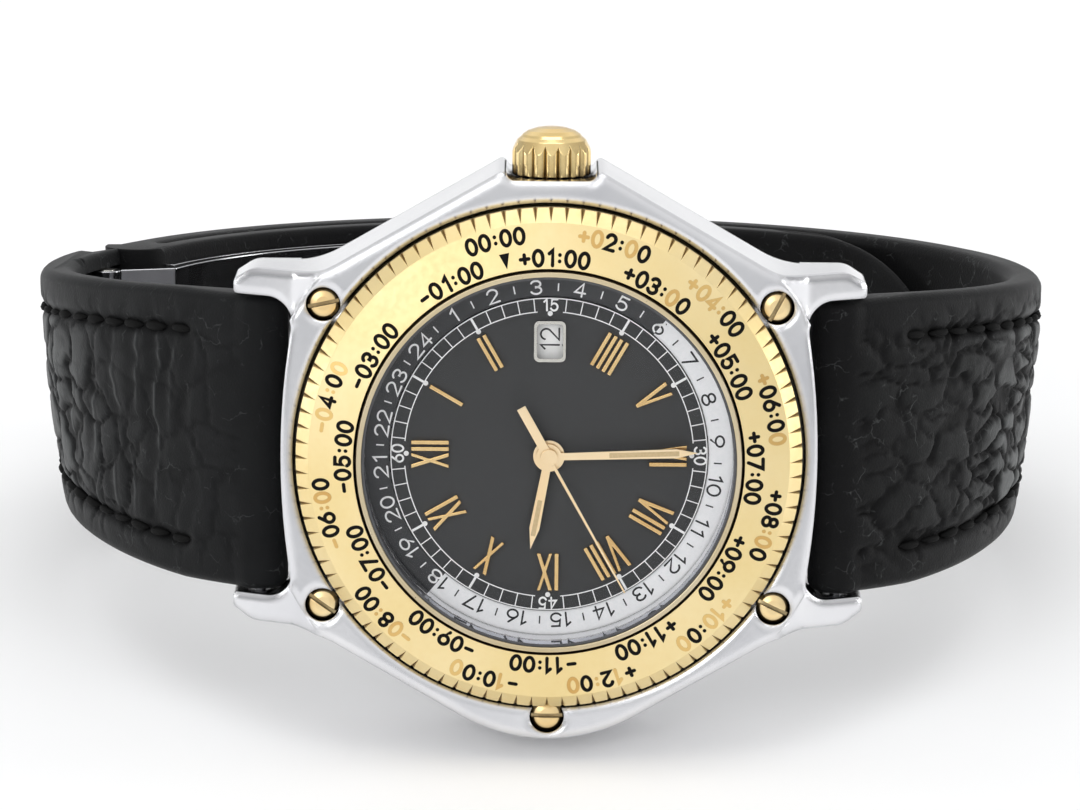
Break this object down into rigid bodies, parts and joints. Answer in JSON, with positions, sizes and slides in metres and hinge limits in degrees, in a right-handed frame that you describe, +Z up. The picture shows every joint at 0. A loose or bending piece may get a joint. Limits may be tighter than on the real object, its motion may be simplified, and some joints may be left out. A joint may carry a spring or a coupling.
{
  "type": "world time wristwatch",
  "caption": "Round self-winding wristwatch with a turning two-row time-zone bezel, rotating 24-hour ring, date window, leather strap and folding clasp.",
  "frame": {"origin": "centre of the bounding box's bottom face, on the surface the watch lies on", "axes": "+X from 12 o'clock towards 6 o'clock; the dial faces -Y and is leaned back 12.2 degrees; +Z up, with the crown on top"},
  "size_m": [0.069, 0.0638, 0.0401],
  "materials": {
    "gold": "polished",
    "steel": "polished",
    "movement_brass": "satin",
    "movement_steel": "satin",
    "rhodium": "satin, silver coloured plating",
    "crystal": "clear",
    "rubber": "matt",
    "dial_paint": "matt charcoal lacquer",
    "ring_paint": "silver and dark print",
    "date_paint": "white lacquer",
    "jewel": "polished",
    "black_leather": "grained, worn",
    "plastic": "matt"
  },
  "bodies": {
    "case": {"case_middle": "steel", "case_back": "steel", "case_back_gasket": "rubber", "bezel_screws": "gold", "bezel_spring": "movement_steel", "crystal": "crystal", "crystal_gasket": "plastic", "crystal_ring": "gold", "crown_tube": "movement_steel", "pallet_bridge": "rhodium", "hairspring": "movement_steel", "rotor_bearing": "movement_steel", "main_plate": "rhodium", "barrel_bridge": "rhodium", "train_bridge": "rhodium", "balance_cock": "rhodium", "bridge_screws": "movement_steel", "jewels": "jewel", "movement_ring": "plastic", "casing_clamps": "movement_steel", "dial": "dial_paint", "dial_numerals": "gold", "date_window_frame": "steel", "dial_spacer": "plastic", "spring_bars": "movement_steel"},
    "bezel_body": {"bezel": "gold"},
    "stem_pinions": {"sliding_pinion": "movement_steel", "winding_pinion": "movement_steel"},
    "crown_body": {"crown": "gold", "crown_gasket": "rubber", "winding_stem": "movement_steel"},
    "crown_wheel_body": {"crown_wheel": "movement_steel"},
    "ratchet_body": {"ratchet_wheel": "movement_steel", "barrel_arbor": "movement_steel"},
    "click_body": {"click": "movement_steel"},
    "minute_body": {"minute_hand": "gold", "cannon_pinion": "movement_steel"},
    "seconds_body": {"seconds_hand": "gold", "fourth_wheel": "movement_brass"},
    "hour_body": {"hour_hand": "gold", "hour_wheel": "movement_brass"},
    "minute_wheel_body": {"minute_wheel": "movement_brass"},
    "drive_wheel_body": {"ring_drive_wheel": "movement_brass"},
    "hour_ring_body": {"hour_ring_24": "ring_paint"},
    "second_wheel_body": {"second_wheel": "movement_brass"},
    "third_wheel_body": {"third_wheel": "movement_brass"},
    "barrel_body": {"barrel_drum": "movement_brass", "mainspring": "movement_steel"},
    "escape_body": {"escape_wheel": "movement_steel"},
    "pallet_body": {"pallet_fork": "movement_steel"},
    "balance_body": {"balance_wheel": "movement_brass"},
    "date_body": {"date_ring": "date_paint"},
    "rotor_body": {"rotor": "movement_brass"},
    "strap_long_body": {"strap_long": "black_leather"},
    "strap_short_body": {"strap_short": "black_leather"},
    "clasp_upper_body": {"clasp_upper_blade": "steel", "clasp_pins": "steel"},
    "clasp_lower_body": {"clasp_lower_blade": "steel", "clasp_end_pin": "steel"}
  },
  "joints": [
    {"name": "bezel_turn", "type": "hinge", "parent": "case", "child": "bezel_body", "pos_m": [0, -0.02596, 0.01988], "axis": [0, -0.9777, 0.21], "continuous": true},
    {"name": "crown_turn", "type": "hinge", "parent": "case", "child": "stem_pinions", "pos_m": [0, -0.01927, 0.03675], "axis": [0, 0.21, 0.9777], "continuous": true},
    {"name": "crown_pull", "type": "slide", "parent": "stem_pinions", "child": "crown_body", "axis": [0, 0.21, 0.9777], "range_m": [0, 0.0015]},
    {"name": "crown_wheel_turn", "type": "hinge", "parent": "case", "child": "crown_wheel_body", "pos_m": [0, -0.02424, 0.0279], "axis": [0, -0.9777, 0.21], "continuous": true},
    {"name": "ratchet_turn", "type": "hinge", "parent": "case", "child": "ratchet_body", "pos_m": [-0.00617, -0.02479, 0.02531], "axis": [0, -0.9777, 0.21], "continuous": true},
    {"name": "click_pivot", "type": "hinge", "parent": "case", "child": "click_body", "pos_m": [-0.00959, -0.02544, 0.02231], "axis": [0, -0.9777, 0.21], "range_deg": [-8, 0]},
    {"name": "minute_turn", "type": "hinge", "parent": "case", "child": "minute_body", "pos_m": [0, -0.02596, 0.01988], "axis": [0, -0.9777, 0.21], "continuous": true},
    {"name": "seconds_turn", "type": "hinge", "parent": "case", "child": "seconds_body", "pos_m": [0, -0.02596, 0.01988], "axis": [0, -0.9777, 0.21], "continuous": true},
    {"name": "hour_turn", "type": "hinge", "parent": "case", "child": "hour_body", "pos_m": [0, -0.02596, 0.01988], "axis": [0, -0.9777, 0.21], "continuous": true},
    {"name": "minute_wheel_turn", "type": "hinge", "parent": "case", "child": "minute_wheel_body", "pos_m": [-0.00196, -0.0256, 0.02155], "axis": [0, -0.9777, 0.21], "continuous": true},
    {"name": "drive_wheel_turn", "type": "hinge", "parent": "case", "child": "drive_wheel_body", "pos_m": [-0.00234, -0.02731, 0.0136], "axis": [0, -0.9777, 0.21], "continuous": true},
    {"name": "hour_ring_turn", "type": "hinge", "parent": "case", "child": "hour_ring_body", "pos_m": [0, -0.02596, 0.01988], "axis": [0, -0.9777, 0.21], "continuous": true},
    {"name": "second_wheel_turn", "type": "hinge", "parent": "case", "child": "second_wheel_body", "pos_m": [-0.00448, -0.02573, 0.02092], "axis": [0, -0.9777, 0.21], "continuous": true},
    {"name": "third_wheel_turn", "type": "hinge", "parent": "case", "child": "third_wheel_body", "pos_m": [-0.00309, -0.02658, 0.01699], "axis": [0, -0.9777, 0.21], "continuous": true},
    {"name": "barrel_turn", "type": "hinge", "parent": "case", "child": "barrel_body", "pos_m": [-0.00617, -0.02479, 0.02531], "axis": [0, -0.9777, 0.21], "continuous": true},
    {"name": "escape_turn", "type": "hinge", "parent": "case", "child": "escape_body", "pos_m": [0.00203, -0.0267, 0.01645], "axis": [0, -0.9777, 0.21], "continuous": true},
    {"name": "pallet_rock", "type": "hinge", "parent": "case", "child": "pallet_body", "pos_m": [0.00383, -0.02701, 0.01497], "axis": [0, -0.9777, 0.21], "range_deg": [-3, 3]},
    {"name": "balance_swing", "type": "hinge", "parent": "case", "child": "balance_body", "pos_m": [0.00684, -0.02724, 0.0139], "axis": [0, -0.9777, 0.21], "range_deg": [-150, 150]},
    {"name": "date_turn", "type": "hinge", "parent": "case", "child": "date_body", "pos_m": [0, -0.02596, 0.01988], "axis": [0, -0.9777, 0.21], "continuous": true},
    {"name": "rotor_spin", "type": "hinge", "parent": "case", "child": "rotor_body", "pos_m": [0, -0.02596, 0.01988], "axis": [0, -0.9777, 0.21], "continuous": true},
    {"name": "strap_long_swing", "type": "hinge", "parent": "case", "child": "strap_long_body", "pos_m": [0.0191, -0.02126, 0.01887], "axis": [0, 0.21, 0.9777], "range_deg": [-62.72, 0]},
    {"name": "clasp_bar_pivot", "type": "hinge", "parent": "strap_long_body", "child": "clasp_upper_body", "pos_m": [-0.02957, 0.01184, 0.01176], "axis": [0, 0.21, 0.9777], "range_deg": [-84.3, 0]},
    {"name": "clasp_unfold", "type": "hinge", "parent": "clasp_upper_body", "child": "clasp_lower_body", "pos_m": [0.00715, 0.02395, 0.00916], "axis": [0, 0.21, 0.9777], "range_deg": [0, 130]},
    {"name": "strap_short_swing", "type": "hinge", "parent": "case", "child": "strap_short_body", "pos_m": [-0.0191, -0.02126, 0.01887], "axis": [0, 0.21, 0.9777], "range_deg": [0, 20]}
  ],
  "couplings": [
    {"joint": "crown_wheel_turn", "follows": "crown_turn", "ratio": 0.5},
    {"joint": "ratchet_turn", "follows": "crown_turn", "ratio": -0.33333},
    {"joint": "seconds_turn", "follows": "minute_turn", "ratio": 60},
    {"joint": "hour_turn", "follows": "minute_turn", "ratio": 0.083333},
    {"joint": "minute_wheel_turn", "follows": "minute_turn", "ratio": -0.33333},
    {"joint": "drive_wheel_turn", "follows": "minute_turn", "ratio": -0.11719},
    {"joint": "hour_ring_turn", "follows": "minute_turn", "ratio": -0.041667},
    {"joint": "second_wheel_turn", "follows": "minute_turn", "ratio": 1},
    {"joint": "third_wheel_turn", "follows": "minute_turn", "ratio": -7.5},
    {"joint": "barrel_turn", "follows": "minute_turn", "ratio": -0.14286},
    {"joint": "escape_turn", "follows": "minute_turn", "ratio": -720},
    {"joint": "strap_short_swing", "follows": "clasp_unfold", "ratio": 0.15385},
    {"joint": "strap_long_swing", "follows": "clasp_unfold", "ratio": -0.48246},
    {"joint": "clasp_bar_pivot", "follows": "clasp_unfold", "ratio": -0.64846}
  ]
}
